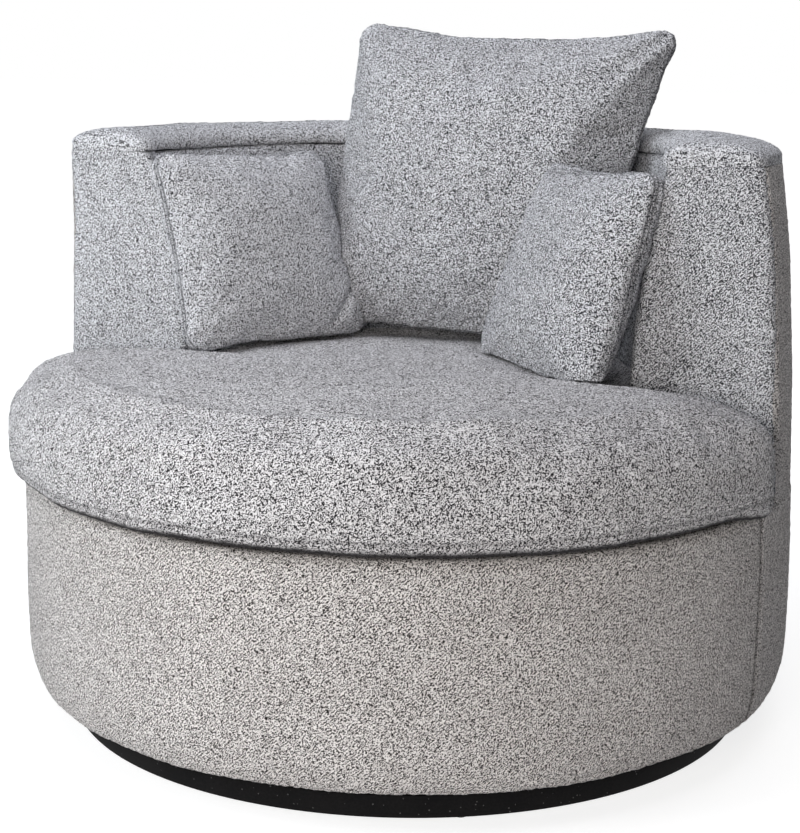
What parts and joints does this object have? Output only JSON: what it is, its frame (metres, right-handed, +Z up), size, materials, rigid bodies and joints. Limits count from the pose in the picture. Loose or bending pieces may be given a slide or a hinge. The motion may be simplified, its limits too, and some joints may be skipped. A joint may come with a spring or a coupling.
{
  "type": "swivel armchair",
  "caption": "Round upholstered swivel armchair with a curved wall for back and arms, a deep loose seat cushion, a back cushion and scatter cushions, on a low black plinth.",
  "frame": {"origin": "on the floor on the swivel's axis, under the middle of the chair", "axes": "+Z up, -Y the way the chair faces, +X to the right of a person who stands in front of the chair and looks at it"},
  "size_m": [1.04, 1.057, 0.9195],
  "materials": {
    "boucle": "grey looped boucle with light and dark flecks",
    "black_paint": "matt black paint on plywood",
    "black_nylon": "moulded, matt",
    "black_cloth": "thin non-woven dust cloth",
    "zinc_steel": "bright zinc plated",
    "plywood": "unfinished plywood",
    "webbing": "woven elastic webbing",
    "deck_felt": "pressed felt"
  },
  "bodies": {
    "plinth": {"plinth_hoop": "black_paint", "plinth_board": "black_paint", "glide_1": "black_nylon", "glide_2": "black_nylon", "glide_3": "black_nylon", "glide_4": "black_nylon", "glide_5": "black_nylon", "glide_6": "black_nylon", "swivel_plate_lower": "zinc_steel", "plinth_screw_1": "zinc_steel", "plinth_screw_2": "zinc_steel", "plinth_screw_3": "zinc_steel", "plinth_screw_4": "zinc_steel"},
    "cage": {"ball_cage": "zinc_steel"},
    "shell": {"swivel_plate_upper": "zinc_steel", "frame_screw_1": "zinc_steel", "frame_screw_2": "zinc_steel", "frame_screw_3": "zinc_steel", "frame_screw_4": "zinc_steel", "floor_board": "plywood", "dust_cloth": "black_cloth", "deck_hoop": "plywood", "drum_post_1": "plywood", "drum_post_2": "plywood", "drum_post_3": "plywood", "drum_post_4": "plywood", "drum_post_5": "plywood", "drum_post_6": "plywood", "long_strap_1": "webbing", "long_strap_2": "webbing", "long_strap_3": "webbing", "long_strap_4": "webbing", "long_strap_5": "webbing", "cross_strap_1": "webbing", "cross_strap_2": "webbing", "cross_strap_3": "webbing", "cross_strap_4": "webbing", "deck_pad": "deck_felt", "drum_front_cover": "boucle", "outer_back_cover": "boucle", "inner_back_lining": "boucle", "arm_board_left": "plywood", "arm_board_right": "plywood", "back_post_1": "plywood", "back_post_2": "plywood", "back_post_3": "plywood", "back_post_4": "plywood", "top_rail": "plywood", "arm_facing_left": "boucle", "arm_facing_right": "boucle", "top_roll": "boucle"},
    "seat": {"seat_cushion": "boucle"},
    "back_pillow": {"back_cushion": "boucle"},
    "left_pillow": {"scatter_cushion_left": "boucle"},
    "right_pillow": {"scatter_cushion_right": "boucle"}
  },
  "joints": [
    {"name": "swivel", "type": "hinge", "parent": "plinth", "child": "shell", "pos_m": [0, 0, 0.05175], "axis": [0, 0, 1], "continuous": true},
    {"name": "cage_spin", "type": "hinge", "parent": "plinth", "child": "cage", "pos_m": [0, 0, 0.05175], "axis": [0, 0, 1], "continuous": true},
    {"name": "seat_cushion_lift", "type": "slide", "parent": "shell", "child": "seat", "axis": [0, 0, 1], "range_m": [0, 0.25]},
    {"name": "back_cushion_lift", "type": "slide", "parent": "seat", "child": "back_pillow", "axis": [0, 0, 1], "range_m": [0, 0.3]},
    {"name": "scatter_cushion_left_lift", "type": "slide", "parent": "seat", "child": "left_pillow", "axis": [0, 0, 1], "range_m": [0, 0.3]},
    {"name": "scatter_cushion_right_lift", "type": "slide", "parent": "back_pillow", "child": "right_pillow", "axis": [0, 0, 1], "range_m": [0, 0.3]}
  ],
  "couplings": [
    {"joint": "cage_spin", "follows": "swivel", "ratio": 0.5}
  ]
}
